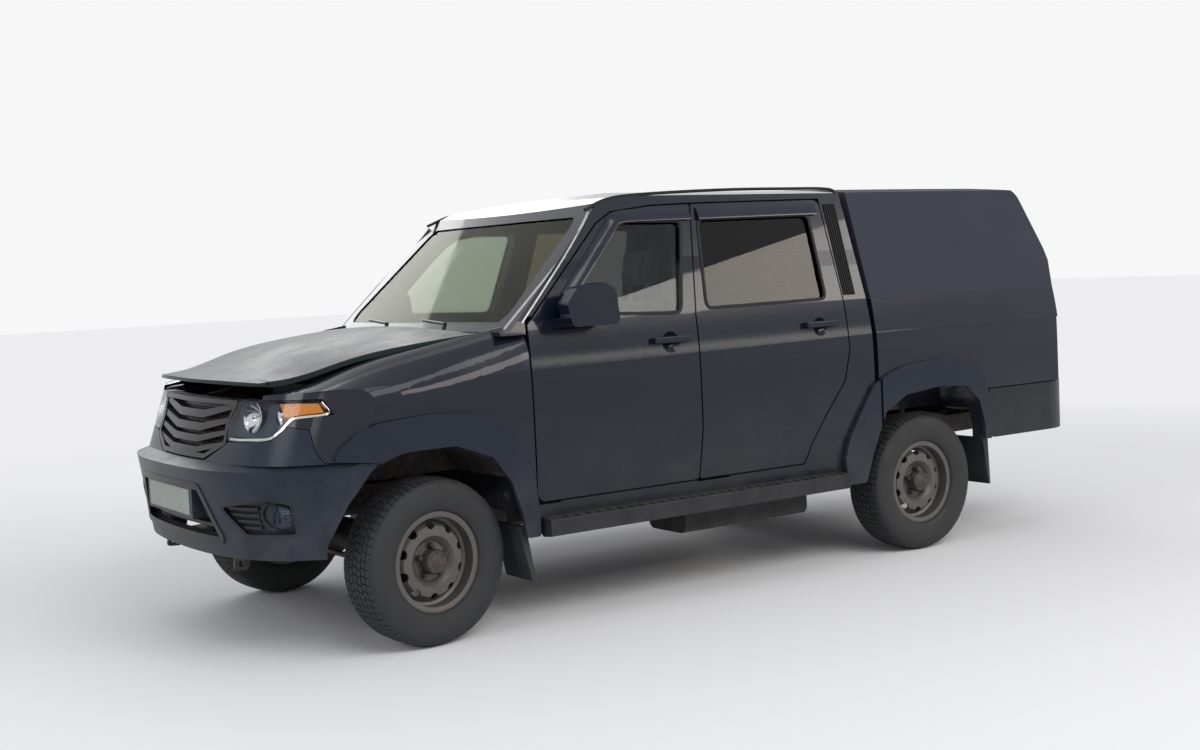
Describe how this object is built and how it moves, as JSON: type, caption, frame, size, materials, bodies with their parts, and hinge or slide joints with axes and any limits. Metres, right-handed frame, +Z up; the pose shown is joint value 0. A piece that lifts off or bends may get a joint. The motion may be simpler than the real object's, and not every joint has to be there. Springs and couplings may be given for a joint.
{
  "type": "four-door pickup truck with a bed canopy",
  "caption": "Four-door ladder-frame pickup truck with a hard canopy over its bed, opening doors, hood, tailgate and hatch, and steered front wheels.",
  "frame": {"origin": "on the ground, halfway between the two bumpers, on the centre plane", "axes": "+X forward, +Y to the driver's left, +Z up"},
  "size_m": [5.13, 2.1, 1.9899],
  "materials": {
    "body_paint": "gloss",
    "canopy_skin": "textured satin",
    "trim_plastic": "grained",
    "bumper_plastic": "dusty semi-gloss",
    "window_glass": "clear tinted",
    "lamp_lens": "clear",
    "tail_lens": "clear red",
    "frame_steel": "satin black",
    "engine_iron": "rough",
    "tank_plastic": "matte",
    "exhaust_steel": "dull",
    "axle_iron": "painted black",
    "tyre": "dusty rubber",
    "wheel_steel": "dusty",
    "seat_fabric": "woven",
    "interior_plastic": "grained",
    "plate": "blank"
  },
  "bodies": {
    "chassis": {"cab_glass": "window_glass", "cab_shell": "body_paint", "fenders": "body_paint", "front_bumper": "bumper_plastic", "grille": "trim_plastic", "front_lamps": "lamp_lens", "running_boards": "trim_plastic", "flares": "trim_plastic", "canopy": "canopy_skin", "bed": "body_paint", "rear_bumper": "bumper_plastic", "tail_lamps": "tail_lens", "frame_rail_left": "frame_steel", "frame_rail_right": "frame_steel", "frame_crossmembers": "frame_steel", "engine": "engine_iron", "fuel_tank": "tank_plastic", "exhaust": "exhaust_steel", "front_axle": "axle_iron", "rear_axle": "axle_iron", "driveline": "axle_iron", "suspension": "frame_steel", "spare_wheel": "tyre", "front_seats": "seat_fabric", "rear_bench": "seat_fabric", "dashboard": "interior_plastic", "cowl": "trim_plastic", "inner_wings": "frame_steel", "plates": "plate"},
    "door_front_left": {"door_front_left": "body_paint", "door_glass_front_left": "window_glass", "mirror_left": "body_paint"},
    "door_front_right": {"door_front_right": "body_paint", "door_glass_front_right": "window_glass", "mirror_right": "body_paint"},
    "door_rear_left": {"door_rear_left": "body_paint", "door_glass_rear_left": "window_glass"},
    "door_rear_right": {"door_rear_right": "body_paint", "door_glass_rear_right": "window_glass"},
    "hood": {"hood": "body_paint"},
    "tailgate": {"tailgate": "body_paint"},
    "canopy_hatch": {"canopy_hatch": "canopy_skin", "canopy_glass": "window_glass"},
    "knuckle_left": {"knuckle_left": "axle_iron"},
    "knuckle_right": {"knuckle_right": "axle_iron"},
    "tie_rod": {"tie_rod": "axle_iron"},
    "steering_wheel": {"steering_wheel": "interior_plastic"},
    "wheel_front_left": {"tyre_front_left": "tyre", "wheel_front_left": "wheel_steel"},
    "wheel_front_right": {"tyre_front_right": "tyre", "wheel_front_right": "wheel_steel"},
    "wheel_rear_left": {"tyre_rear_left": "tyre", "wheel_rear_left": "wheel_steel"},
    "wheel_rear_right": {"tyre_rear_right": "tyre", "wheel_rear_right": "wheel_steel"}
  },
  "joints": [
    {"name": "door_front_left_hinge", "type": "hinge", "parent": "chassis", "child": "door_front_left", "pos_m": [1.128, 0.921, 0.9], "axis": [0, 0, -1], "range_deg": [0, 70]},
    {"name": "door_rear_left_hinge", "type": "hinge", "parent": "chassis", "child": "door_rear_left", "pos_m": [0.173, 0.921, 0.9], "axis": [0, 0, -1], "range_deg": [0, 70]},
    {"name": "door_front_right_hinge", "type": "hinge", "parent": "chassis", "child": "door_front_right", "pos_m": [1.128, -0.921, 0.9], "axis": [0, 0, 1], "range_deg": [0, 70]},
    {"name": "door_rear_right_hinge", "type": "hinge", "parent": "chassis", "child": "door_rear_right", "pos_m": [0.173, -0.921, 0.9], "axis": [0, 0, 1], "range_deg": [0, 70]},
    {"name": "hood_hinge", "type": "hinge", "parent": "chassis", "child": "hood", "pos_m": [1.425, 0, 1.315], "axis": [0, -1, 0], "range_deg": [-3.4, 50]},
    {"name": "tailgate_hinge", "type": "hinge", "parent": "chassis", "child": "tailgate", "pos_m": [-2.408, 0, 0.856], "axis": [0, -1, 0], "range_deg": [0, 90]},
    {"name": "canopy_hatch_hinge", "type": "hinge", "parent": "chassis", "child": "canopy_hatch", "pos_m": [-2.273, 0, 1.914], "axis": [0, 1, 0], "range_deg": [0, 80]},
    {"name": "steer_left", "type": "hinge", "parent": "chassis", "child": "knuckle_left", "pos_m": [1.71, 0.7, 0.367], "axis": [0, 0, 1], "range_deg": [-40, 24]},
    {"name": "steer_right", "type": "hinge", "parent": "chassis", "child": "knuckle_right", "pos_m": [1.71, -0.7, 0.367], "axis": [0, 0, 1], "range_deg": [-40, 24]},
    {"name": "tie_rod_slide", "type": "slide", "parent": "chassis", "child": "tie_rod", "axis": [0, 1, 0], "range_m": [-0.1052, 0.0633]},
    {"name": "steering_wheel_turn", "type": "hinge", "parent": "chassis", "child": "steering_wheel", "pos_m": [0.77, 0.37, 1.225], "axis": [-0.9261, 0, 0.3772], "range_deg": [-601, 361]},
    {"name": "wheel_front_left_spin", "type": "hinge", "parent": "knuckle_left", "child": "wheel_front_left", "pos_m": [1.69608, 0.79903, 0.367], "axis": [-0.1392, 0.9903, 0], "continuous": true},
    {"name": "wheel_rear_left_spin", "type": "hinge", "parent": "chassis", "child": "wheel_rear_left", "pos_m": [-1.29, 0.8, 0.367], "axis": [0, 1, 0], "continuous": true},
    {"name": "wheel_front_right_spin", "type": "hinge", "parent": "knuckle_right", "child": "wheel_front_right", "pos_m": [1.72392, -0.79903, 0.367], "axis": [-0.1392, 0.9903, 0], "continuous": true},
    {"name": "wheel_rear_right_spin", "type": "hinge", "parent": "chassis", "child": "wheel_rear_right", "pos_m": [-1.29, -0.8, 0.367], "axis": [0, 1, 0], "continuous": true}
  ],
  "couplings": [
    {"joint": "steer_right", "follows": "steer_left", "ratio": 1},
    {"joint": "tie_rod_slide", "follows": "steer_left", "m_per_rad": 0.15},
    {"joint": "steering_wheel_turn", "follows": "steer_left", "ratio": 15}
  ]
}
